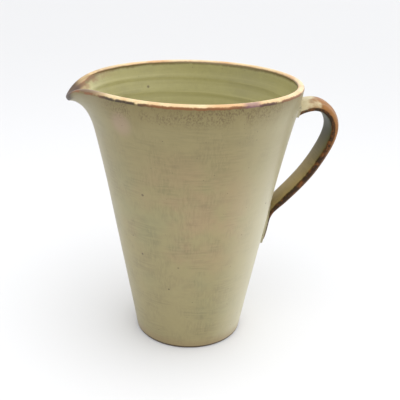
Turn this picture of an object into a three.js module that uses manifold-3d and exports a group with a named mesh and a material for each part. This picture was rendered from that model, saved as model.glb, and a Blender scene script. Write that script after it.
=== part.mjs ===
// A hand-thrown stoneware pitcher: a flared thrown body with a pouring lip pulled out of its rim,
// and a pulled strap handle, bedded on the wall at both ends in soft joint clay.
// Millimetres, +Z up. The origin is the centre of the flat base, on the throwing axis.
// The handle stands out along +X and the lip points along -X.
import * as THREE from "three";
import { mergeVertices } from "three/addons/utils/BufferGeometryUtils.js";
import Module from "manifold-3d";

const wasm = await Module();
wasm.setup();

// ---- Driving dimensions ----
const HEIGHT = 210; // base to rim
const FOOT_RADIUS = 43.8;
const RIM_RADIUS = 82.8;
const WALL_AT_RIM = 5.2;
const WALL_AT_FOOT = 7.5;
const FLOOR = 8;
const JOINT_GAP = 0.3; // room for the slip film between two pieces of clay

// The pulled lip: how far below the rim it starts, how far its edge curls over, the power with
// which the curl gathers towards the edge, how much the edge is drawn down, and how wide it is.
const LIP_DEPTH = 43;
const LIP_CURL = THREE.MathUtils.degToRad(102);
const LIP_CURL_POWER = 2.25;
const LIP_DRAW = 0.3;
const LIP_HALF_ANGLE = THREE.MathUtils.degToRad(10);

// The line of the strap's edges in the XZ plane, from inside the wall under the rim, over the bend
// and down to the tail that lies flat on the wall.
const STRAP_PATH = [
  [67, 178.5],
  [75, 184],
  [83, 188.4],
  [92.5, 190.4],
  [100, 188.2],
  [105.6, 182.2],
  [108, 174],
  [106.4, 164.6],
  [101, 152.4],
  [93, 139],
  [83.5, 126.8],
  [72.7, 114.8],
  [63.5, 104],
  [59.4, 92.5],
  [56.4, 76.5],
];
// The strap's width, its crown outside that line and its crown inside it, at even steps along it.
const STRAP_SECTIONS = [
  [32, 8.4, 3.2],
  [27.5, 6.6, 2.9],
  [26, 6.2, 2.8],
  [26, 6.2, 2.7],
  [25.5, 6.1, 2.6],
  [25, 6, 2.6],
  [24.5, 6, 2.7],
  [24, 5.8, 2.7],
  [24, 5.3, 2.7],
  [25, 3.3, 2.5],
  [27.5, 4.3, 2],
  [24, 3.8, 1.5],
];
// How round each face is: 1 is a half oval, and less is flatter in the middle and fuller at the edge.
const OUTER_ROUNDNESS = 0.8;
const INNER_ROUNDNESS = 0.6;
const STRAP_STEPS = 44;

// ---- Solids ----
// A closed geometry as a solid that can be cut and joined.
function toSolid(geometry) {
  geometry.deleteAttribute("normal");
  geometry.deleteAttribute("uv");
  const merged = mergeVertices(geometry, 1e-4);
  const corners = merged.index.array;
  const triangles = [];
  for (let i = 0; i < corners.length; i += 3) {
    const [a, b, c] = corners.slice(i, i + 3);
    if (a !== b && b !== c && c !== a) triangles.push(a, b, c);
  }
  return new wasm.Manifold(
    new wasm.Mesh({
      numProp: 3,
      vertProperties: new Float32Array(merged.attributes.position.array),
      triVerts: new Uint32Array(triangles),
    }),
  );
}

function toGeometry(solid) {
  const mesh = solid.getMesh();
  const geometry = new THREE.BufferGeometry();
  geometry.setAttribute("position", new THREE.BufferAttribute(mesh.vertProperties, 3));
  geometry.setIndex(new THREE.BufferAttribute(mesh.triVerts, 1));
  return geometry;
}

// A profile of points (radius, height) turned about the Z axis.
function turned(profile, columns) {
  return new THREE.LatheGeometry(profile, columns).rotateX(Math.PI / 2);
}

// Moves every vertex of a geometry by a function of its position.
function reshape(geometry, move) {
  const position = geometry.attributes.position;
  const point = new THREE.Vector3();
  for (let i = 0; i < position.count; i++) {
    move(point.fromBufferAttribute(position, i));
    position.setXYZ(i, point.x, point.y, point.z);
  }
  return geometry;
}

// ---- The thrown body ----
const BODY_COLUMNS = 72;
const WALL_ROWS = 19;
const FOOT_BEVEL = 1.6;
const INNER_CORNER = 18;
const RIM_ROUND = WALL_AT_RIM / 2;
const RIM_STEPS = 6;
const CORNER_STEPS = 6;

// The outside of the wall: a cone that flares a little more as it rises and steadies at the rim.
const outerWall = new THREE.SplineCurve([
  new THREE.Vector2(FOOT_RADIUS, FOOT_BEVEL),
  new THREE.Vector2(50.6, 40),
  new THREE.Vector2(58.9, 86),
  new THREE.Vector2(67.5, 134),
  new THREE.Vector2(75.3, 172),
  new THREE.Vector2(80.7, 195),
  new THREE.Vector2(RIM_RADIUS, HEIGHT - RIM_ROUND),
]);
const WALL_SAMPLES = outerWall.getSpacedPoints(200);

function outerRadius(height) {
  const above = WALL_SAMPLES.findIndex((p) => p.y >= height);
  if (above === 0) return WALL_SAMPLES[0].x;
  if (above < 0) return RIM_RADIUS;
  const [low, high] = [WALL_SAMPLES[above - 1], WALL_SAMPLES[above]];
  return THREE.MathUtils.mapLinear(height, low.y, high.y, low.x, high.x);
}

function wallThickness(height) {
  return THREE.MathUtils.mapLinear(height, 0, HEIGHT, WALL_AT_FOOT, WALL_AT_RIM);
}

// Heights of the rows of the wall, closer together where the lip is pulled.
function wallHeights() {
  const heights = [];
  for (let row = 0; row <= WALL_ROWS; row++) {
    const share = (row / WALL_ROWS) ** 0.6;
    heights.push(THREE.MathUtils.lerp(FOOT_BEVEL, HEIGHT - RIM_ROUND, share));
  }
  return heights;
}

// The closed profile: out under the floor, up the outside, over the rim and down the inside.
function bodyProfile() {
  const underside = [new THREE.Vector2(0, 0), new THREE.Vector2(FOOT_RADIUS - FOOT_BEVEL, 0)];
  const outside = wallHeights().map((z) => new THREE.Vector2(outerRadius(z), z));
  const rim = [];
  for (let step = 1; step < RIM_STEPS; step++) {
    const turn = (Math.PI * step) / RIM_STEPS;
    const radius = RIM_RADIUS - RIM_ROUND + RIM_ROUND * Math.cos(turn);
    rim.push(new THREE.Vector2(radius, HEIGHT - RIM_ROUND + RIM_ROUND * Math.sin(turn)));
  }
  const inside = outside
    .filter((p) => p.y > FLOOR + INNER_CORNER)
    .map((p) => new THREE.Vector2(p.x - wallThickness(p.y), p.y))
    .reverse();
  const wallFoot = inside[inside.length - 1];
  const corner = new THREE.QuadraticBezierCurve(
    wallFoot,
    new THREE.Vector2(wallFoot.x - 4, FLOOR),
    new THREE.Vector2(wallFoot.x - INNER_CORNER - 6, FLOOR),
  );
  const floorEdge = corner.getPoints(CORNER_STEPS).slice(1);
  return [...underside, ...outside, ...rim, ...inside, ...floorEdge, new THREE.Vector2(0, FLOOR)];
}

// Carries a point of the plain wall into the lip. The outside of the wall is followed upwards from
// where the lip starts, leaning further out and drawn shorter towards the rim, and the thickness
// of the wall is laid off square to it. The pull fades away to both sides of the lip.
function pullLip(point) {
  const start = HEIGHT - LIP_DEPTH;
  if (point.z <= start) return;
  const angle = Math.atan2(point.y, -point.x);
  const pull = 1 / Math.cosh(angle / LIP_HALF_ANGLE);
  const radius = Math.hypot(point.x, point.y);
  const steps = 40;
  const rise = (point.z - start) / steps;
  const edge = new THREE.Vector2(outerRadius(start), start);
  let lean = 0;
  for (let step = 0; step < steps; step++) {
    const height = start + rise * (step + 0.5);
    const share = (height - start) / LIP_DEPTH;
    const slope = Math.atan(outerRadius(height + 0.5) - outerRadius(height - 0.5));
    lean = slope + LIP_CURL * pull * share ** LIP_CURL_POWER;
    const length = (rise / Math.cos(slope)) * (1 - LIP_DRAW * pull * share);
    edge.x += length * Math.sin(lean);
    edge.y += length * Math.cos(lean);
  }
  const inwards = outerRadius(point.z) - radius;
  const scale = (edge.x - inwards * Math.cos(lean)) / radius;
  point.set(point.x * scale, point.y * scale, edge.y + inwards * Math.sin(lean));
}

function thrownBody() {
  return toSolid(reshape(turned(bodyProfile(), BODY_COLUMNS), pullLip));
}

// Everything inside the outer face of the wall, grown by the joint gap.
function wallKeepOut() {
  const outside = wallHeights().map((z) => new THREE.Vector2(outerRadius(z) + JOINT_GAP, z));
  const profile = [new THREE.Vector2(0, FOOT_BEVEL), ...outside, new THREE.Vector2(0, HEIGHT - RIM_ROUND)];
  return toSolid(turned(profile, BODY_COLUMNS));
}

// ---- The handle ----
const strapPath = new THREE.CatmullRomCurve3(
  STRAP_PATH.map(([x, z]) => new THREE.Vector3(x, 0, z)),
  false,
  "centripetal",
);
const strapSections = new THREE.CatmullRomCurve3(
  STRAP_SECTIONS.map((sizes) => new THREE.Vector3(...sizes)),
);

// A bar laid along a stretch of the strap's line. Its section is two half ovals of the same width,
// an outer and an inner crown, given by sectionAt for a share of the whole line.
function crownedBar(from, to, steps, sectionAt) {
  const outline = new THREE.Shape();
  outline.absellipse(0, 0, 1, 1, 0, 2 * Math.PI);
  const bar = new THREE.ExtrudeGeometry(outline, {
    depth: 1,
    steps,
    curveSegments: 11,
    bevelEnabled: false,
  });
  return reshape(bar, (point) => {
    const share = THREE.MathUtils.lerp(from, to, point.z);
    const middle = strapPath.getPointAt(share);
    const along = strapPath.getTangentAt(share);
    const { width, outerCrown, innerCrown } = sectionAt(share);
    const outwards =
      point.x > 0 ? outerCrown * point.x ** OUTER_ROUNDNESS : -innerCrown * (-point.x) ** INNER_ROUNDNESS;
    point.set(
      middle.x - along.z * outwards,
      (-point.y * width) / 2,
      middle.z + along.x * outwards,
    );
  });
}

function strapSection(share) {
  const sizes = strapSections.getPoint(share);
  return { width: sizes.x, outerCrown: sizes.y, innerCrown: sizes.z };
}

// The whole strap, grown by the same amount all round.
function strapBar(growth) {
  const bar = crownedBar(0, 1, STRAP_STEPS, (share) => {
    const section = strapSection(share);
    return {
      width: section.width + 2 * growth,
      outerCrown: section.outerCrown + growth,
      innerCrown: section.innerCrown + growth,
    };
  });
  return toSolid(bar);
}

// Soft clay pressed into the corner between the strap and the wall: a skirt round the strap, deepest
// where the strap meets the wall and thin at both ends. Its inner crown takes the full depth and its
// outer crown a share of it, so that the strap's outer face can run on past it.
const CLAY_DEPTH = 2.4;
const CLAY_EDGE = 0.9;
const CLAY_STEPS = 10;

function jointClay(from, to, outerShare) {
  const skirt = crownedBar(from, to, CLAY_STEPS, (share) => {
    const run = (share - from) / (to - from);
    const depth = THREE.MathUtils.lerp(CLAY_EDGE, CLAY_DEPTH, Math.sin(run * Math.PI));
    const section = strapSection(share);
    return {
      width: section.width + 2 * depth,
      outerCrown: section.outerCrown + depth * outerShare,
      innerCrown: section.innerCrown + depth,
    };
  });
  return toSolid(skirt);
}

// ---- The pitcher ----
function glazed(name, solid, color) {
  const material = new THREE.MeshStandardMaterial({ color, roughness: 0.4, metalness: 0 });
  const mesh = new THREE.Mesh(toGeometry(solid), material);
  mesh.name = name;
  return mesh;
}

const keepOut = wallKeepOut();
const strapRoom = strapBar(JOINT_GAP);
const upperClay = jointClay(0, 0.12, 0.4).subtract(keepOut).subtract(strapRoom);
const lowerClay = jointClay(0.75, 0.9, 0).subtract(keepOut).subtract(strapRoom);

const pitcher = new THREE.Group();
pitcher.add(glazed("thrown_body", thrownBody(), 0x99906a));
pitcher.add(glazed("handle_strap", strapBar(0).subtract(keepOut), 0xa58c63));
pitcher.add(glazed("upper_joint_clay", upperClay, 0x978d68));
pitcher.add(glazed("lower_joint_clay", lowerClay, 0x978d68));

export default pitcher;
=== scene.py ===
import math

import bpy
import numpy as np
from mathutils import Matrix, Vector


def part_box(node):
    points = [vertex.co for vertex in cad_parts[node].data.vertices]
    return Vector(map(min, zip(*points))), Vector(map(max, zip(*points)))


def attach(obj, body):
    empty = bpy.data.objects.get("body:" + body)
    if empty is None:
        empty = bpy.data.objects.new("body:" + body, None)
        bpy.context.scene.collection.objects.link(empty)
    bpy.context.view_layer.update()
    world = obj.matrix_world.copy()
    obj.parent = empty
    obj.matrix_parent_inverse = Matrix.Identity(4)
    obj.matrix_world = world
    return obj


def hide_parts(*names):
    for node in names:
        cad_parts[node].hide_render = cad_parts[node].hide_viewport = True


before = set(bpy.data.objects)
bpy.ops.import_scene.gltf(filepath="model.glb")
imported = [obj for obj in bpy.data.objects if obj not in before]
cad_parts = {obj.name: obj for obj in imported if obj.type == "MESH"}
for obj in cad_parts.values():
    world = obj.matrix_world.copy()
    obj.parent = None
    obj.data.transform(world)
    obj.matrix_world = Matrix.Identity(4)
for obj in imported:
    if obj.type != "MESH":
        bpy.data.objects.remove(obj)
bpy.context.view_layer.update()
MM = 0.001

# ---------------------------------------------------------------------------------------------
# The thrown body. One lump of speckled stoneware clay, opened and pulled up on the wheel into a
# flared wall, its rim pressed round with a wet leather, and the pouring lip drawn out of the rim
# with a finger. Fired once, dipped in an olive glaze, wiped clean under the foot, fired again.
# ---------------------------------------------------------------------------------------------
body_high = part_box("thrown_body")[1]
HEIGHT = body_high.z
RIM_RADIUS = body_high.x
RIM_WALL = 5.2 * MM
RIM_ROUND = RIM_WALL / 2
FOOT_WALL = 7.5 * MM
FOOT_BEVEL = 1.6 * MM
FLOOR = 8 * MM
INNER_CORNER = 18 * MM
WALL_LINE = [(43.8, 1.6), (50.6, 40), (58.9, 86), (67.5, 134), (75.3, 172), (80.7, 195), (82.8, 207.4)]
LINE_POINTS = 400
BODY_COLUMNS = 240
UNDERSIDE_ROWS = 12
BEVEL_ROWS = 6
WALL_ROWS = 176
RIM_ROWS = 17
CORNER_ROWS = 16
FLOOR_ROWS = 9
RIM_OUT_OF_ROUND = 0.2 * MM
RIM_SAG = 0.25 * MM
SAG_START = 150 * MM

LIP_DEPTH = 43 * MM
LIP_CURL = math.radians(102)
LIP_CURL_POWER = 2.25
LIP_DRAW = 0.308
LIP_HALF_ANGLE = math.radians(10)
LIP_STEPS = 60

OUTER_RING_PITCH = 3.4 * MM
OUTER_RING_DEPTH = 0.08 * MM
INNER_RING_PITCH = 10.8 * MM
INNER_RING_DEPTH = 0.45 * MM
INNER_RING_SLOPE = 0.86  # the share of each step that slopes gently, before it drops
INNER_RIPPLE_PITCH = 4.9 * MM
INNER_RIPPLE_DEPTH = 0.14 * MM


def smooth_line(points, count):
    """Evenly spaced points on a smooth line through the given ones."""
    points = np.array(points, float)
    knots = np.concatenate([[2 * points[0] - points[1]], points, [2 * points[-1] - points[-2]]])
    t = np.linspace(0, 1, 40, endpoint=False)[:, None]
    pieces = []
    for a, b, c, d in zip(knots, knots[1:], knots[2:], knots[3:]):
        bend = t**2 * (a - 2.5 * b + 2 * c - d / 2) + t**3 * (1.5 * (b - c) + (d - a) / 2)
        pieces.append(b + t * (c - a) / 2 + bend)
    fine = np.concatenate(pieces + [points[-1:]])
    length = np.concatenate([[0], np.cumsum(np.linalg.norm(np.diff(fine, axis=0), axis=1))])
    even = np.linspace(0, length[-1], count)
    return np.stack([np.interp(even, length, fine[:, i]) for i in range(fine.shape[1])], axis=1)


wall_line = smooth_line(WALL_LINE, LINE_POINTS) * MM


def outer_radius(z):
    return np.interp(z, wall_line[:, 1], wall_line[:, 0])


def wall_thickness(z):
    return FOOT_WALL + (RIM_WALL - FOOT_WALL) * z / HEIGHT


def body_profile():
    """Rows of (radius, height, side): side is 1 outside, 0 on the rim and -1 inside."""
    rows = []
    foot = wall_line[0, 0]
    for share in np.linspace(0.04, 1, UNDERSIDE_ROWS):
        rows.append(((foot - FOOT_BEVEL) * share, 0, 1))
    for turn in np.linspace(-math.pi / 2, 0, BEVEL_ROWS)[1:-1]:
        rows.append((foot + FOOT_BEVEL * (math.cos(turn) - 1), FOOT_BEVEL * (1 + math.sin(turn)), 1))
    wall = np.linspace(FOOT_BEVEL, HEIGHT - RIM_ROUND, WALL_ROWS)
    rows += [(outer_radius(z), z, 1) for z in wall]
    for turn in np.linspace(0, math.pi, RIM_ROWS)[1:-1]:
        roll = RIM_ROUND * math.cos(turn)
        rows.append((RIM_RADIUS - RIM_ROUND + roll, HEIGHT - RIM_ROUND + RIM_ROUND * math.sin(turn), 0))
    inside = [(outer_radius(z) - wall_thickness(z), z, -1) for z in wall[::-1] if z > FLOOR + INNER_CORNER]
    rows += inside
    last_radius, last_height, _ = inside[-1]
    start = np.array([last_radius, last_height])
    bend = np.array([last_radius - 4 * MM, FLOOR])
    end = np.array([last_radius - INNER_CORNER - 6 * MM, FLOOR])
    for t in np.linspace(0, 1, CORNER_ROWS)[1:]:
        radius, z = (1 - t) ** 2 * start + 2 * t * (1 - t) * bend + t**2 * end
        rows.append((radius, z, -1))
    for share in np.linspace(1, 0.06, FLOOR_ROWS)[1:]:
        rows.append((end[0] * share, FLOOR, -1))
    return np.array(rows)


def pull_lip(radius, z, angle):
    """The radius, height and pull of each point once the lip has been drawn out."""
    start = HEIGHT - LIP_DEPTH
    pull = 1 / np.cosh(angle / LIP_HALF_ANGLE)
    rise = np.maximum(z - start, 0) / LIP_STEPS
    edge_radius = np.full(z.shape, float(outer_radius(start)))
    edge_height = np.full(z.shape, start)
    lean = np.zeros(z.shape)
    for step in range(LIP_STEPS):
        height = start + rise * (step + 0.5)
        share = (height - start) / LIP_DEPTH
        slope = np.arctan((outer_radius(height + MM / 2) - outer_radius(height - MM / 2)) / MM)
        lean = slope + LIP_CURL * pull * share**LIP_CURL_POWER
        length = rise / np.cos(slope) * (1 - LIP_DRAW * pull * share)
        edge_radius = edge_radius + length * np.sin(lean)
        edge_height = edge_height + length * np.cos(lean)
    inwards = outer_radius(z) - radius
    above = z > start
    return (
        np.where(above, edge_radius - inwards * np.cos(lean), radius),
        np.where(above, edge_height + inwards * np.sin(lean), z),
        np.where(above, pull * (z - start) / LIP_DEPTH, 0),
    )


def closed_skin(name, rings, start, end, marks, end_marks):
    """A closed mesh over rings of points, drawn to a single point at both ends. Marks are numbers
    or vectors kept for every point, for the glaze to read."""
    count, columns = rings.shape[:2]
    points = np.concatenate([rings.reshape(-1, 3), [start, end]])
    corner = np.arange(count * columns).reshape(count, columns)
    following = np.roll(corner, -1, axis=1)
    quads = np.stack([corner[:-1], following[:-1], following[1:], corner[1:]], axis=-1).reshape(-1, 4)
    first, last = count * columns, count * columns + 1
    fan = [(first, b, a) for a, b in zip(corner[0], following[0])]
    fan += [(last, a, b) for a, b in zip(corner[-1], following[-1])]
    mesh = bpy.data.meshes.new(name)
    mesh.from_pydata(points.tolist(), [], quads.tolist() + fan)
    for mark, values in marks.items():
        values = np.broadcast_to(values, (count, columns) + np.shape(values)[2:])
        kind, channel = ("FLOAT_VECTOR", "vector") if values.ndim == 3 else ("FLOAT", "value")
        flat = values.reshape(count * columns, -1)
        flat = np.concatenate([flat, np.reshape(end_marks[mark], (2, -1))])
        mesh.attributes.new(mark, kind, "POINT").data.foreach_set(channel, flat.ravel().astype(np.float32))
    mesh.shade_smooth()
    piece = bpy.data.objects.new(name, mesh)
    bpy.context.collection.objects.link(piece)
    return piece


profile = body_profile()
angle = np.linspace(-math.pi, math.pi, BODY_COLUMNS, endpoint=False)
turn = np.repeat(angle[None, :], len(profile), axis=0)
radius, height, side = (np.repeat(profile[:, i : i + 1], BODY_COLUMNS, axis=1) for i in range(3))

# Throwing rings climb the wall as one spiral: close and shallow outside, where a rib has smoothed
# them, and in broad steps with a finer ripple inside, where the fingers pulled.
fade = np.clip((HEIGHT - 4 * MM - height) / (9 * MM), 0, 1) * np.clip((height - 6 * MM) / (10 * MM), 0, 1)
sway = 0.3 * np.sin(height / (23 * MM)) + 0.12 * np.sin(height / (9.1 * MM) + 1.3)
outer_turns = height / OUTER_RING_PITCH + sway + turn / (2 * math.pi)
outer_ring = np.sin(2 * math.pi * outer_turns) * (0.55 + 0.45 * np.sin(height / (31 * MM)))
step_turns = height / INNER_RING_PITCH + 0.5 * sway - turn / (2 * math.pi) + 0.15
step_share = step_turns - np.floor(step_turns)
slope_down = 1 - 2 * step_share / INNER_RING_SLOPE
drop = 2 * (step_share - INNER_RING_SLOPE) / (1 - INNER_RING_SLOPE) - 1
inner_step = np.where(step_share < INNER_RING_SLOPE, slope_down, drop)
inner_ripple = np.sin(2 * math.pi * (height / INNER_RIPPLE_PITCH + sway - turn / (2 * math.pi)))
ripple_strength = 0.5 + 0.5 * np.sin(height / (19 * MM) + 1.1)
step_depth = INNER_RING_DEPTH * (0.75 + 0.25 * np.sin(height / (29 * MM)))
step_hollow = step_depth * (1 - inner_step) / 2
ripple_hollow = INNER_RIPPLE_DEPTH * ripple_strength * (1 - inner_ripple) / 2
ring = np.where(side > 0, outer_ring, np.where(side < 0, 0.75 * inner_step + 0.35 * inner_ripple, 0)) * fade
hollow = np.where(side > 0, OUTER_RING_DEPTH * (1 - outer_ring) / 2, -step_hollow - ripple_hollow)
out_of_round = RIM_OUT_OF_ROUND * (1 + np.cos(2 * turn + 0.8)) / 2 * np.clip(height / HEIGHT, 0, 1)
radius_now = radius - np.where(side == 0, 0, hollow * fade) - out_of_round * (side >= 0)

pulled_radius, pulled_height, pull = pull_lip(radius_now, height, np.mod(turn, 2 * math.pi) - math.pi)
near_rim = np.clip((pulled_height - SAG_START) / (HEIGHT - SAG_START), 0, 1)
sag = RIM_SAG * (1 + np.sin(3 * turn + 0.6)) / 2 * near_rim
rings = np.stack([pulled_radius * np.cos(turn), pulled_radius * np.sin(turn), pulled_height - sag], axis=-1)

way = np.concatenate([[0], np.cumsum(np.hypot(np.diff(profile[:, 0]), np.diff(profile[:, 1])))])
crest = way[np.argmax(profile[:, 1])]
thrown = np.stack([radius * np.cos(turn), radius * np.sin(turn), height], axis=-1)
floor_middle = (0, 0, float(profile[-1, 1]))
body_marks = {"thrown": thrown, "from_crest": (crest - way)[:, None], "ring": ring, "pull": pull}
body_end_marks = {
    "thrown": [(0, 0, 0), floor_middle],
    "from_crest": [crest, crest - way[-1]],
    "ring": [0, 0],
    "pull": [0, 0],
}
body = closed_skin("thrown_body_glazed", rings, (0, 0, 0), floor_middle, body_marks, body_end_marks)


def paint(red, green, blue):
    """A colour given in screen levels from 0 to 255, as the shader takes it."""
    shares = [c / 255 for c in (red, green, blue)]
    return tuple(c / 12.92 if c < 0.04 else ((c + 0.055) / 1.055) ** 2.4 for c in shares) + (1,)


def plug(tree, socket, value):
    """Sets a socket to a value, or links it to another socket."""
    if isinstance(value, bpy.types.NodeSocket):
        tree.links.new(value, socket)
    else:
        socket.default_value = value


def add(tree, kind, inputs=None, **settings):
    """A shader node with its settings. Inputs are values, or sockets to link from."""
    node = tree.nodes.new("ShaderNode" + kind)
    for setting, value in settings.items():
        setattr(node, setting, value)
    for socket, value in (inputs or {}).items():
        plug(tree, node.inputs[socket], value)
    return node


def sums(tree, operation, first, second=0.0, third=0.0):
    """The result of a sum on numbers or sockets."""
    return add(tree, "Math", {0: first, 1: second, 2: third}, operation=operation).outputs[0]


def between(tree, value, low, high):
    """0 below low, 1 above high, and a smooth ramp between. With low above high it falls."""
    limits = {"Value": value, "From Min": low, "From Max": high, "To Min": 0.0, "To Max": 1.0}
    return add(tree, "MapRange", limits, interpolation_type="SMOOTHSTEP").outputs["Result"]


def blend(tree, share, first, second):
    """The first colour going over to the second by a share."""
    return add(tree, "Mix", {0: share, 6: first, 7: second}, data_type="RGBA").outputs[2]


def tinge(tree, colour, mask, strength, tint):
    """A colour going over to a tint where a mask says, by a strength."""
    return blend(tree, sums(tree, "MULTIPLY", mask, strength), colour, tint)


def noise(tree, place, scale, detail=2.0, roughness=0.5, squeeze=(1, 1, 1), shift=0.0):
    """Soft noise with lumps of about one metre over the scale, squeezed along each axis."""
    spot = add(tree, "Mapping", {"Vector": place, "Scale": squeeze, "Location": (shift, shift, shift)})
    inputs = {"Vector": spot.outputs["Vector"], "Scale": scale, "Detail": detail, "Roughness": roughness}
    return add(tree, "TexNoise", inputs).outputs["Fac"]


def new_group(name, takes, gives):
    """An empty node group, with the sockets it takes and gives."""
    group = bpy.data.node_groups.new(name, "ShaderNodeTree")
    for socket, kind in takes.items():
        group.interface.new_socket(socket, in_out="INPUT", socket_type="NodeSocket" + kind)
    for socket, kind in gives.items():
        group.interface.new_socket(socket, in_out="OUTPUT", socket_type="NodeSocket" + kind)
    return group, group.nodes.new("NodeGroupInput").outputs, group.nodes.new("NodeGroupOutput").inputs


def use(tree, group, inputs):
    """A node group placed in a material with its own values."""
    node = add(tree, "Group", node_tree=group)
    for socket, value in inputs.items():
        plug(tree, node.inputs[socket], value)
    return node.outputs


def new_material(name):
    material = bpy.data.materials.new(name)
    material.use_nodes = True
    material.node_tree.nodes.clear()
    shader = add(material.node_tree, "BsdfPrincipled")
    add(material.node_tree, "OutputMaterial", {"Surface": shader.outputs[0]})
    return material, material.node_tree, shader


# Iron specks: grains of iron in the clay that melt up through the glaze as brown dots.
iron_specks, given, wanted = new_group(
    "iron_specks", {"Place": "Vector", "Per Metre": "Float", "Share": "Float"}, {"Speck": "Float"}
)
cells = add(iron_specks, "TexVoronoi", {"Vector": given["Place"], "Scale": given["Per Metre"]})
chance = add(iron_specks, "SeparateColor", {"Color": cells.outputs["Color"]}).outputs
width = sums(iron_specks, "MULTIPLY_ADD", chance["Green"], 0.18, 0.1)
dot = between(iron_specks, cells.outputs["Distance"], width, sums(iron_specks, "MULTIPLY", width, 0.4))
chosen = sums(iron_specks, "LESS_THAN", chance["Red"], given["Share"])
plug(iron_specks, wanted["Speck"], sums(iron_specks, "MULTIPLY", dot, chosen))

# The glaze in the open: olive, clouded with green where it lies thick and, on the side that faced
# the flame, with warm tan where it lies thin. A linen of fine upright and level lines crosses it.
WARM_SIDE = (-5 * MM, -80 * MM, 120 * MM)
open_glaze, given, wanted = new_group(
    "open_glaze",
    {"Place": "Vector", "Olive": "Color", "Tan": "Color", "Green": "Color", "Linen": "Float"},
    {"Colour": "Color", "Relief": "Float"},
)
tree, place = open_glaze, given["Place"]
warm = add(tree, "VectorMath", {0: place, 1: WARM_SIDE}, operation="DISTANCE").outputs["Value"]
warm = between(tree, warm, 75 * MM, 30 * MM)
thin = between(tree, noise(tree, place, 26, 4, 0.6, (1, 1, 1.4)), 0.38, 0.62)
thick = between(tree, noise(tree, place, 19, 3, 0.55, (1, 1, 1.2), 0.4), 0.5, 0.72)
colour = blend(tree, sums(tree, "MULTIPLY", thin, warm), given["Olive"], given["Tan"])
colour = tinge(tree, colour, thick, 0.7, given["Green"])
upright = between(tree, noise(tree, place, 760, 2, 0.6, (1, 1, 0.1)), 0.38, 0.62)
level = between(tree, noise(tree, place, 700, 1, 0.6, (0.09, 0.09, 1)), 0.38, 0.62)
where_upright = between(tree, noise(tree, place, 70, 2, 0.5, (1, 1, 0.8), 0.9), 0.42, 0.62)
where_level = between(tree, noise(tree, place, 60, 2, 0.5, (0.8, 0.8, 1), 0.5), 0.42, 0.62)
upright = sums(tree, "MULTIPLY", upright, where_upright)
level = sums(tree, "MULTIPLY", level, where_level)
lines = sums(tree, "MULTIPLY", sums(tree, "ADD", upright, level), given["Linen"])
mottle = sums(tree, "SUBTRACT", noise(tree, place, 300, 4, 0.65), 0.5)
shade = sums(tree, "SUBTRACT", sums(tree, "MULTIPLY_ADD", mottle, 0.16, 1.0), lines)
shaded = add(tree, "VectorMath", {0: colour, "Scale": shade}, operation="SCALE").outputs[0]
plug(tree, wanted["Colour"], shaded)
plug(tree, wanted["Relief"], sums(tree, "SUBTRACT", noise(tree, place, 90, 3), lines))

# A band with a torn edge, between two distances along the skin, where glaze breaks over an edge.
torn_band, given, wanted = new_group(
    "torn_band",
    {"Place": "Vector", "Way": "Float", "From": "Float", "To": "Float", "Soft": "Float", "Tear": "Float"},
    {"Band": "Float"},
)
tree = torn_band
fine_tear = sums(tree, "SUBTRACT", noise(tree, given["Place"], 330, 4, 0.6, (1, 1, 0.4)), 0.5)
broad_tear = sums(tree, "SUBTRACT", noise(tree, given["Place"], 70, 2, 0.5, (1, 1, 0.1)), 0.5)
torn = sums(tree, "ADD", fine_tear, broad_tear)
torn_way = sums(tree, "ADD", given["Way"], sums(tree, "MULTIPLY", torn, given["Tear"]))
start = between(tree, torn_way, sums(tree, "SUBTRACT", given["From"], given["Soft"]), given["From"])
stop = between(tree, torn_way, sums(tree, "ADD", given["To"], given["Soft"]), given["To"])
plug(tree, wanted["Band"], sums(tree, "MULTIPLY", start, stop))

OLIVE = paint(154, 142, 98)
WARM_TAN = paint(160, 139, 100)
MOSS = paint(146, 140, 98)
PAINTED_LIGHT_GREEN = paint(196, 190, 160)
INSIDE_GREEN = paint(166, 160, 106)
INSIDE_PALE = paint(184, 178, 126)
INSIDE_DARK = paint(146, 140, 82)
PAINTED_SHADE_GREEN = paint(118, 104, 54)
UNDER_RIM_BROWN = paint(104, 88, 40)
MOTTLE_BROWN = paint(84, 58, 20)
BLUSH = paint(168, 136, 122)
FOOT_BROWN = paint(150, 126, 88)
RIM_CREAM = paint(222, 198, 150)
RIM_TOAST = paint(206, 164, 112)
RIM_TAN = paint(208, 178, 126)
RIM_BROWN = paint(96, 68, 36)
RUST = paint(126, 76, 34)
BURNT = paint(46, 30, 14)
MAROON = paint(70, 34, 30)
LIP_BROWN = paint(56, 34, 20)
IRON = paint(70, 50, 34)
KILN_PURPLE = paint(126, 86, 96)
SHADED_BARE_CLAY = paint(72, 56, 38)
KILN_SPOT = (32 * MM, -75 * MM, 209 * MM)
DRIP_SPOT = (30 * MM, -73 * MM, 196 * MM)
BURNT_SPOT = (-54 * MM, -62 * MM, 208 * MM)
MAROON_SPOT = (40 * MM, -72 * MM, 208 * MM)
LIP_FRONT_SPOT = (-80 * MM, -24 * MM, 208 * MM)
LIP_SPOT = (-86 * MM, 6 * MM, 208 * MM)
BLUSH_SPOT = (-54 * MM, -58 * MM, 191 * MM)
DARK_FRONT = (-8 * MM, -84 * MM, 206 * MM)
OUTER_LINEN = 0.12
INNER_LINEN = 0.04
LEAST_ROUGHNESS = 0.36
ROUGHNESS_SPREAD = 0.16
GLAZE_RELIEF = 0.2 * MM
COAT = 0.28

body_glaze, tree, shader = new_material("body_glaze")
place = add(tree, "Attribute", attribute_name="thrown").outputs["Vector"]
crest_way = add(tree, "Attribute", attribute_name="from_crest").outputs["Fac"]
ring_height = add(tree, "Attribute", attribute_name="ring").outputs["Fac"]
pulled = add(tree, "Attribute", attribute_name="pull").outputs["Fac"]
spot = add(tree, "SeparateXYZ", {"Vector": place}).outputs
level_now = spot["Z"]


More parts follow.
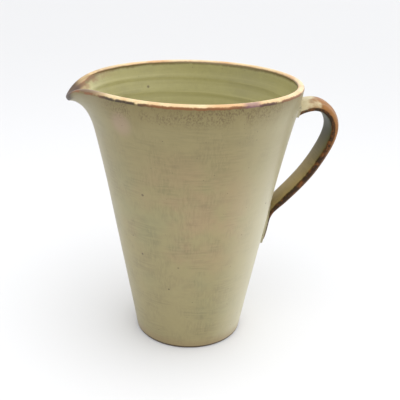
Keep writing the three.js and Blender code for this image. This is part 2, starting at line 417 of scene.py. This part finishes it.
def near(spot, reach):
    """1 at a spot on the skin, fading to 0 at the reach."""
    way = add(tree, "VectorMath", {0: place, 1: spot}, operation="DISTANCE").outputs["Value"]
    return between(tree, way, reach * MM, 0.3 * reach * MM)


def rim_band(start, stop, soft, tear):
    """A torn band between two distances outwards from the rim's crest, in millimetres."""
    inputs = {"Place": place, "Way": rim_way, "From": start * MM, "To": stop * MM}
    return use(tree, torn_band, {**inputs, "Soft": soft * MM, "Tear": tear * MM})["Band"]


def glazed(olive, tan, green, linen):
    """The open glaze in colours of its own, with a strength for its linen."""
    colours = {"Olive": olive, "Tan": tan, "Green": green}
    return use(tree, open_glaze, {"Place": place, "Linen": linen, **colours})


# Towards the lip the glaze breaks further in, because the rim is rolled over there.
rim_way = sums(tree, "MULTIPLY_ADD", between(tree, pulled, 0.05, 0.5), 3.6 * MM, crest_way)
# Outside, the strap's side is painted paler: painted light and painted reflection of the window to the right.
outside = glazed(OLIVE, WARM_TAN, MOSS, OUTER_LINEN)
across_squared = sums(tree, "POWER", spot["Y"], 2.0)
from_axis = sums(tree, "SQRT", sums(tree, "MULTIPLY_ADD", spot["X"], spot["X"], across_squared))
painted_light_side = between(tree, sums(tree, "DIVIDE", spot["X"], from_axis), 0.2, 1.0)
colour = tinge(tree, outside["Colour"], painted_light_side, 0.8, PAINTED_LIGHT_GREEN)
# Painted shade: the wall is painted darker towards the rim, and darker again in a band just under the rim's
# roll.
colour = tinge(tree, colour, between(tree, level_now, 110 * MM, 185 * MM), 0.35, PAINTED_SHADE_GREEN)
colour = tinge(tree, colour, rim_band(2, 6, 20, 9), 0.5, PAINTED_SHADE_GREEN)
colour = tinge(tree, colour, rim_band(2, 4, 7, 5), 0.6, PAINTED_SHADE_GREEN)
colour = tinge(tree, colour, near(BLUSH_SPOT, 12), 0.4, BLUSH)
mottling = between(tree, noise(tree, place, 900, 4, 0.75, (1, 1, 0.7)), 0.46, 0.6)
patches = between(tree, noise(tree, place, 60, 3, 0.6), 0.36, 0.52)
dark_front = sums(tree, "MULTIPLY", sums(tree, "MULTIPLY", mottling, patches), rim_band(3, 7, 14, 6))
dark_front = sums(tree, "MULTIPLY", dark_front, near(DARK_FRONT, 95))
colour = tinge(tree, colour, dark_front, 0.8, MOTTLE_BROWN)
colour = tinge(tree, colour, between(tree, level_now, 12 * MM, 2 * MM), 0.55, FOOT_BROWN)
# Inside the glaze is thin and pale on the crest of each throwing ring and dark below its step.
within = glazed(INSIDE_GREEN, INSIDE_GREEN, MOSS, INNER_LINEN)
# The inside is painted paler on the strap's side too: painted light.
inner = tinge(tree, within["Colour"], painted_light_side, 0.25, INSIDE_PALE)
inner = tinge(tree, inner, between(tree, ring_height, 0.3, 0.95), 0.75, INSIDE_PALE)
inner = tinge(tree, inner, between(tree, ring_height, -0.2, -0.9), 0.5, INSIDE_DARK)
lip_pool = sums(tree, "MULTIPLY", between(tree, pulled, 0.2, 0.45), rim_band(-18, -6, 4, 4))
inner = tinge(tree, inner, lip_pool, 0.6, INSIDE_PALE)
inner = tinge(tree, inner, rim_band(-4.6, -1.8, 2.2, 2.2), 0.85, UNDER_RIM_BROWN)
lip_stain = sums(tree, "MULTIPLY", near(LIP_SPOT, 58), patches)
lip_stain = sums(tree, "MULTIPLY", lip_stain, rim_band(-8, -2, 3, 5))
inner = tinge(tree, inner, lip_stain, 0.6, RUST)
colour = blend(tree, between(tree, crest_way, -0.5 * MM, 0.5 * MM), inner, colour)
# Iron specks, a few of them large, and a crowd of them trailing down from the kiln mark.
crowd = sums(tree, "MAXIMUM", near(KILN_SPOT, 16), sums(tree, "MULTIPLY", near(DRIP_SPOT, 22), 0.6))
share = sums(tree, "MULTIPLY_ADD", crowd, 0.6, 0.03)
small = use(tree, iron_specks, {"Place": place, "Per Metre": 560.0, "Share": share})["Speck"]
large = use(tree, iron_specks, {"Place": place, "Per Metre": 150.0, "Share": 0.03})["Speck"]
colour = tinge(tree, colour, small, 0.7, IRON)
colour = tinge(tree, colour, large, 0.7, IRON)
# The glaze breaks over the rim: cream on the roll, with a torn line of rust below its outer edge.
around = noise(tree, place, 34, 3, 0.6, (1, 1, 0.1))
streaks = noise(tree, place, 300, 3, 0.6, (1, 1, 0.2))
cream = blend(tree, between(tree, around, 0.42, 0.66), RIM_CREAM, RIM_TOAST)
cream = tinge(tree, cream, between(tree, streaks, 0.45, 0.75), 0.5, RIM_TOAST)
cream = tinge(tree, cream, near(LIP_SPOT, 75), 0.8, RIM_TAN)
cream = tinge(tree, cream, near(LIP_FRONT_SPOT, 40), 0.9, RIM_BROWN)
cream = tinge(tree, cream, sums(tree, "MULTIPLY", near(LIP_SPOT, 75), patches), 0.4, RIM_BROWN)
colour = blend(tree, rim_band(-2.4, 3.1, 0.7, 1), colour, cream)
rust_line = rim_band(3.1, 4.3, 0.7, 1.6)
rust = blend(tree, near(BURNT_SPOT, 30), RUST, BURNT)
rust = blend(tree, near(MAROON_SPOT, 26), rust, MAROON)
broken = between(tree, noise(tree, place, 110, 3, 0.6, (1, 1, 0.1)), 0.34, 0.5)
colour = tinge(tree, colour, sums(tree, "MULTIPLY", rust_line, broken), 0.9, rust)
colour = tinge(tree, colour, rim_band(-3.1, -2.5, 0.5, 1), 0.5, RUST)
kiln_mark = sums(tree, "MULTIPLY", near(KILN_SPOT, 9), rim_band(0.5, 4.2, 0.6, 1.5))
colour = tinge(tree, colour, kiln_mark, 0.75, KILN_PURPLE)
lip_tip = sums(tree, "MULTIPLY", between(tree, pulled, 0.45, 0.75), rim_band(-4, 8, 2, 2))
colour = tinge(tree, colour, lip_tip, 0.9, LIP_BROWN)
# Bare clay where the glaze was wiped from the foot, painted darker than the clay as painted shade along the
# bottom edge.
bare = between(tree, level_now, 2.4 * MM, 1.4 * MM)
bare = sums(tree, "MULTIPLY", bare, between(tree, crest_way, 0.0, MM))
colour = tinge(tree, colour, bare, 0.9, SHADED_BARE_CLAY)
plug(tree, shader.inputs["Base Color"], colour)
gloss = sums(tree, "MULTIPLY_ADD", noise(tree, place, 60, 3), ROUGHNESS_SPREAD, LEAST_ROUGHNESS)
plug(tree, shader.inputs["Roughness"], sums(tree, "MAXIMUM", gloss, sums(tree, "MULTIPLY", bare, 0.85)))
bump = add(tree, "Bump", {"Strength": 0.3, "Distance": GLAZE_RELIEF, "Height": outside["Relief"]})
plug(tree, shader.inputs["Normal"], bump.outputs["Normal"])
coat = sums(tree, "MULTIPLY_ADD", sums(tree, "MAXIMUM", lip_tip, rust_line), -COAT, COAT)
plug(tree, shader.inputs["Coat Weight"], coat)
shader.inputs["Coat Roughness"].default_value = 0.3

body.data.materials.append(body_glaze)
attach(body, "root")
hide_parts("thrown_body")

# ---------------------------------------------------------------------------------------------
# The handle strap. A strap of the same clay, pulled with a wet hand from a thick root to a thin
# tail. The root is pushed into the scored wall under the rim, the strap hangs over in its own
# curve, and a thumb smears the tail flat down the wall.
# ---------------------------------------------------------------------------------------------
STRAP_PATH = [
    (67, 178.5), (75, 184), (83, 188.4), (92.5, 190.4), (100, 188.2), (105.6, 182.2), (108, 174),
    (106.4, 164.6), (101, 152.4), (93, 139), (83.5, 126.8), (72.7, 114.8), (63.5, 104), (59.4, 92.5),
    (55.8, 73.5),
]
# The strap's width and the crowns of its outer and inner face, at even steps along it.
STRAP_SECTIONS = [
    (32, 8.4, 3.2), (27.5, 6.6, 2.9), (26, 6.2, 2.8), (26, 6.2, 2.7), (25.5, 6.1, 2.6), (25, 6, 2.6),
    (24.5, 6, 2.7), (24, 5.8, 2.7), (24, 5.3, 2.7), (25, 3.3, 2.5), (27.5, 4.3, 2), (24, 3.8, 1.5),
]
OUTER_ROUNDNESS = 0.8
INNER_ROUNDNESS = 0.6
SECTION_POINTS = 200
STRAP_ROWS = 200
STRAP_COLUMNS = 80
ROOT_DEPTH = 2.5 * MM
TAIL_ROUND = 10 * MM
TAIL_THINNING = 13 * MM
GROOVE_DEPTH = 0.3 * MM

strap_line = smooth_line(STRAP_PATH, LINE_POINTS) * MM
strap_length = np.linalg.norm(np.diff(strap_line, axis=0), axis=1).sum()
strap_stations = np.linspace(0, strap_length, len(strap_line))
strap_heading = np.gradient(strap_line, strap_stations, axis=0)
section_steps = [(i * 20, *sizes) for i, sizes in enumerate(STRAP_SECTIONS)]
section_line = smooth_line(section_steps, SECTION_POINTS)[:, 1:] * MM
section_stations = np.linspace(0, strap_length, len(section_line))


def strap_skin(along, angle):
    """Points of the strap's skin. The angle runs round the section from the outer crown."""
    sizes = (np.interp(along, section_stations, section_line[:, i]) for i in range(3))
    width, outer_crown, inner_crown = sizes
    middle_x, middle_z = (np.interp(along, strap_stations, strap_line[:, i]) for i in range(2))
    heading_x, heading_z = (np.interp(along, strap_stations, strap_heading[:, i]) for i in range(2))
    end = np.clip((along - strap_length + TAIL_ROUND) / TAIL_ROUND, 0, 1)
    end_scale = np.sqrt(np.clip(1 - end**2, 0.0004, 1))
    thinning = np.clip((strap_length - along) / TAIL_THINNING, 0, 1)
    crown_scale = end_scale * (1 - (1 - thinning) ** 2)
    across, out = np.sin(angle), np.cos(angle)
    groove = GROOVE_DEPTH * np.clip(np.cos(3 * math.pi * across), 0, 1) * np.clip(2 * out, 0, 1)
    outer_rise = outer_crown * np.abs(out) ** OUTER_ROUNDNESS - groove
    rise = np.where(out > 0, outer_rise, -inner_crown * np.abs(out) ** INNER_ROUNDNESS) * crown_scale
    return np.stack(
        [middle_x - heading_z * rise, width / 2 * across * end_scale, middle_z + heading_x * rise], axis=-1
    )


def off_the_wall(points):
    """How far points stand off the outer face of the thrown wall."""
    return np.hypot(points[..., 0], points[..., 1]) - outer_radius(points[..., 2])


def where_strap_crosses(angle, start, stop, depth):
    """How far along the strap its skin crosses a depth in the thrown wall."""
    along = np.linspace(start, stop, 500)
    off = off_the_wall(strap_skin(along, angle)) - depth
    last = np.argmax((off[:-1] < 0) != (off[1:] < 0))
    share = off[last] / (off[last] - off[last + 1])
    return along[last] + share * (along[last + 1] - along[last])


# The columns start at one edge of the strap and crowd towards both edges.
even_turn = np.linspace(-math.pi / 2, 3 * math.pi / 2, STRAP_COLUMNS, endpoint=False)
section_angle = even_turn + 0.25 * np.sin(2 * even_turn)
root = np.array([where_strap_crosses(a, 0, 40 * MM, -ROOT_DEPTH) for a in section_angle])
share = np.linspace(0, 1, STRAP_ROWS)[:, None]
along = root + (strap_length - root) * share
strap_rings = strap_skin(along, np.broadcast_to(section_angle, along.shape))
round_steps = np.linalg.norm(np.roll(strap_rings, -1, axis=1) - strap_rings, axis=2)
walked = np.cumsum(round_steps, axis=1) - round_steps
far_edge, whole = walked[:, STRAP_COLUMNS // 2, None], round_steps.sum(axis=1)[:, None]
over_outer = np.minimum(walked, far_edge - walked)
over_inner = -np.minimum(walked - far_edge, whole - walked)
from_edge = np.where(walked <= far_edge, over_outer, over_inner)
root_middle = strap_rings[0].mean(axis=0)
tail_end = (strap_line[-1, 0], 0, strap_line[-1, 1])
strap = closed_skin(
    "handle_strap_pulled",
    strap_rings[:, ::-1],
    root_middle,
    tail_end,
    {"thrown": strap_rings[:, ::-1], "from_edge": from_edge[:, ::-1], "along": along[:, ::-1]},
    {"thrown": [root_middle, tail_end], "from_edge": [0, 0], "along": [0, strap_length]},
)

HANDLE_PALE = paint(200, 188, 152)
HANDLE_ORANGE = paint(148, 102, 56)
HANDLE_RUST = paint(104, 72, 42)
HANDLE_SHADE = paint(72, 74, 44)
HANDLE_SHADE_TAN = paint(170, 150, 100)

handle_glaze, tree, shader = new_material("handle_glaze")
place = add(tree, "Attribute", attribute_name="thrown").outputs["Vector"]
edge_way = add(tree, "Attribute", attribute_name="from_edge").outputs["Fac"]
way_down = add(tree, "Attribute", attribute_name="along").outputs["Fac"]
cloud = noise(tree, place, 75, 3, 0.6)
clouded_way = sums(tree, "MULTIPLY_ADD", sums(tree, "SUBTRACT", cloud, 0.5), 34 * MM, way_down)
bend = between(tree, clouded_way, 24 * MM, 34 * MM)
fall = between(tree, clouded_way, 55 * MM, 85 * MM)
outer = blend(tree, bend, HANDLE_PALE, HANDLE_ORANGE)
outer = blend(tree, fall, outer, HANDLE_RUST)
streaks = between(tree, noise(tree, place, 130, 4, 0.65), 0.5, 0.66)
outer = tinge(tree, outer, sums(tree, "MULTIPLY", streaks, bend), 0.6, HANDLE_RUST)
tail_start, tail_stop = float(strap_length) - 24 * MM, float(strap_length) - 12 * MM
outer = blend(tree, between(tree, clouded_way, tail_start, tail_stop), outer, HANDLE_SHADE_TAN)
outer_face = glazed(outer, outer, outer, OUTER_LINEN)
inner = blend(tree, between(tree, way_down, 50 * MM, 110 * MM), HANDLE_SHADE, HANDLE_SHADE_TAN)
inner_face = glazed(inner, inner, inner, OUTER_LINEN)
torn = sums(tree, "MULTIPLY", sums(tree, "SUBTRACT", noise(tree, place, 260, 4, 0.65), 0.5), 3.4 * MM)
torn_way = sums(tree, "ADD", edge_way, torn)
outer_share = between(tree, torn_way, -1.5 * MM, -0.5 * MM)
colour = blend(tree, outer_share, inner_face["Colour"], outer_face["Colour"])
reach = sums(tree, "MULTIPLY_ADD", fall, 1.6 * MM, 2.3 * MM)
dark_edge = between(tree, torn_way, reach, sums(tree, "MULTIPLY", reach, 0.4))
dark_edge = sums(tree, "MULTIPLY", dark_edge, between(tree, torn_way, -3.4 * MM, -1.6 * MM))
dark = blend(tree, between(tree, noise(tree, place, 190, 4, 0.65), 0.45, 0.7), BURNT, RUST)
colour = tinge(tree, colour, dark_edge, 0.95, dark)
small = use(tree, iron_specks, {"Place": place, "Per Metre": 420.0, "Share": 0.06})["Speck"]
colour = tinge(tree, colour, small, 0.5, IRON)
plug(tree, shader.inputs["Base Color"], colour)
gloss = sums(tree, "MULTIPLY_ADD", noise(tree, place, 60, 3), ROUGHNESS_SPREAD, LEAST_ROUGHNESS)
plug(tree, shader.inputs["Roughness"], gloss)
bump = add(tree, "Bump", {"Strength": 0.3, "Distance": GLAZE_RELIEF, "Height": outer_face["Relief"]})
plug(tree, shader.inputs["Normal"], bump.outputs["Normal"])
shader.inputs["Specular IOR Level"].default_value = 0.18

strap.data.materials.append(handle_glaze)
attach(strap, "root")
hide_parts("handle_strap")

# ---------------------------------------------------------------------------------------------
# The joint clay. A soft coil of the same clay, pressed into the corner between strap and wall at
# each end and stroked smooth with a wet finger, so that the joint runs out into both of them.
# ---------------------------------------------------------------------------------------------
COIL_STEPS = 12
SUNK = 0.12 * MM
BURIED = 1.2 * MM


def unit(vector):
    return vector / np.linalg.norm(vector)


def joint_clay(name, node, start, stop, outer_reach, inner_reach):
    """A ring of clay that fills the corner all round the line where the strap meets the wall."""
    sections = []
    for a in section_angle:
        along = where_strap_crosses(a, start, stop, 0)
        meet = strap_skin(along, a)
        forward = strap_skin(along + 0.1 * MM, a) - strap_skin(along - 0.1 * MM, a)
        skin = unit(np.cross(forward, strap_skin(along, a + 0.05) - strap_skin(along, a - 0.05)))
        middle = np.array([np.interp(along, strap_stations, strap_line[:, 0]), 0, meet[2]])
        skin *= np.sign(np.dot(skin, meet - middle))
        slope = (outer_radius(meet[2] + MM) - outer_radius(meet[2] - MM)) / (2 * MM)
        wall = unit(np.array([*unit(meet[:2]), -slope]))
        reach = outer_reach + (inner_reach - outer_reach) * ((1 - math.cos(a)) / 2) ** 1.5
        up_strap = wall - skin * np.dot(wall, skin)
        over_wall = skin - wall * np.dot(wall, skin)
        open_share = min(1, np.linalg.norm(over_wall) / 0.5)
        on_strap = meet + reach * open_share * unit(up_strap) - SUNK * skin
        on_wall = meet + reach * open_share * unit(over_wall)
        on_wall -= (off_the_wall(on_wall) + SUNK) * wall
        t = np.linspace(0, 1, COIL_STEPS)[:, None]
        hollow = (1 - t) ** 2 * on_strap + 2 * t * (1 - t) * meet + t**2 * on_wall
        sections.append(np.concatenate([hollow, [meet - BURIED * (skin + wall)]]))
    sections = np.array(sections)
    corner = np.arange(sections.shape[0] * sections.shape[1]).reshape(sections.shape[:2])
    onward, beyond = np.roll(corner, -1, axis=1), np.roll(corner, -1, axis=0)
    quads = np.stack([corner, onward, np.roll(beyond, -1, axis=1), beyond], axis=-1).reshape(-1, 4)
    mesh = bpy.data.meshes.new(name)
    mesh.from_pydata(sections.reshape(-1, 3).tolist(), [], quads.tolist())
    spots = sections.ravel().astype(np.float32)
    mesh.attributes.new("thrown", "FLOAT_VECTOR", "POINT").data.foreach_set("vector", spots)
    for mark, value in (("from_crest", HEIGHT - sections[..., 2].mean()), ("ring", 0), ("pull", 0)):
        values = np.full(corner.size, value, np.float32)
        mesh.attributes.new(mark, "FLOAT", "POINT").data.foreach_set("value", values)
    mesh.shade_smooth()
    piece = bpy.data.objects.new(name, mesh)
    bpy.context.collection.objects.link(piece)
    piece.data.materials.append(body_glaze)
    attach(piece, "root")
    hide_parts(node)


joint_clay("upper_joint_clay_stroked", "upper_joint_clay", 0, 40 * MM, 2.5 * MM, 2.5 * MM)
joint_clay("lower_joint_clay_stroked", "lower_joint_clay", 0.6 * strap_length, strap_length, 0.5 * MM, 4 * MM)

# ---------------------------------------------------------------------------------------------
# The table and the light: a wide sheet of white card in a white room, lit by a broad window to the
# right, more faintly by a wall to the left and behind, and by one soft lamp above and in front.
# ---------------------------------------------------------------------------------------------
CARD_SIZE = 30.0
ROOM_LIGHT = 0.22
WINDOW_LIGHT = 1.5
WINDOW_WAY = (0.93, 0.15, 0.35)
WALL_LIGHT = 0.75
WALL_WAY = (-0.85, 0.4, 0.35)
GLOW_START = -0.25
LAMP_PLACE = Vector((-0.1, -0.4, 0.8))
LAMP_AIM = Vector((-0.05, -0.2, 0))
LAMP_SIZE = 0.8
LAMP_POWER = 3.6

table = bpy.data.meshes.new("table_card")
half = CARD_SIZE / 2
corners = [(-half, -half, 0), (half, -half, 0), (half, half, 0), (-half, half, 0)]
table.from_pydata(corners, [], [(0, 1, 2, 3)])
table = bpy.data.objects.new("table_card", table)
bpy.context.collection.objects.link(table)
white_card, tree, shader = new_material("white_card")
shader.inputs["Base Color"].default_value = (0.745, 0.75, 0.765, 1)
shader.inputs["Roughness"].default_value = 0.8
table.data.materials.append(white_card)

softbox = bpy.data.lights.new("overhead_softbox", "AREA")
softbox.size = LAMP_SIZE
softbox.energy = LAMP_POWER
softbox = bpy.data.objects.new("overhead_softbox", softbox)
softbox.location = LAMP_PLACE
softbox.rotation_euler = (LAMP_AIM - LAMP_PLACE).to_track_quat("-Z", "Y").to_euler()
bpy.context.collection.objects.link(softbox)

room = bpy.data.worlds.new("white_room")
bpy.context.scene.world = room
room.use_nodes = True
tree = room.node_tree
tree.nodes.clear()
facing = add(tree, "TexCoord").outputs["Generated"]
glow = ROOM_LIGHT
for way, strength in ((WINDOW_WAY, WINDOW_LIGHT), (WALL_WAY, WALL_LIGHT)):
    toward = add(tree, "VectorMath", {0: facing, 1: Vector(way).normalized()}, operation="DOT_PRODUCT")
    glow = sums(tree, "MULTIPLY_ADD", between(tree, toward.outputs["Value"], GLOW_START, 1.0), strength, glow)
light = add(tree, "Background", {"Color": (1, 1, 1, 1), "Strength": glow})
add(tree, "OutputWorld", {"Surface": light.outputs[0]})

CAMERA_PLACE = Vector((7.2, -499.1, 312.4)) * MM
CAMERA_DIP = math.radians(21.89)
CAMERA_ROLL = math.radians(1.77)
CAMERA_ROUND = math.radians(-6)
CAMERA_LENS = 59.94
FILM_WIDTH = 36

camera = bpy.data.objects.new("camera", bpy.data.cameras.new("camera"))
camera.data.lens = CAMERA_LENS
camera.data.sensor_width = FILM_WIDTH
level_right = Vector((1, 0, 0))
level_up = Vector((0, math.sin(CAMERA_DIP), math.cos(CAMERA_DIP)))
right = math.cos(CAMERA_ROLL) * level_right + math.sin(CAMERA_ROLL) * level_up
up = -math.sin(CAMERA_ROLL) * level_right + math.cos(CAMERA_ROLL) * level_up
turned = Matrix((right, up, right.cross(up))).transposed().to_4x4()
camera.matrix_world = Matrix.Rotation(CAMERA_ROUND, 4, "Z") @ Matrix.Translation(CAMERA_PLACE) @ turned
bpy.context.collection.objects.link(camera)
bpy.context.scene.camera = camera
bpy.context.scene.view_settings.view_transform = "Standard"
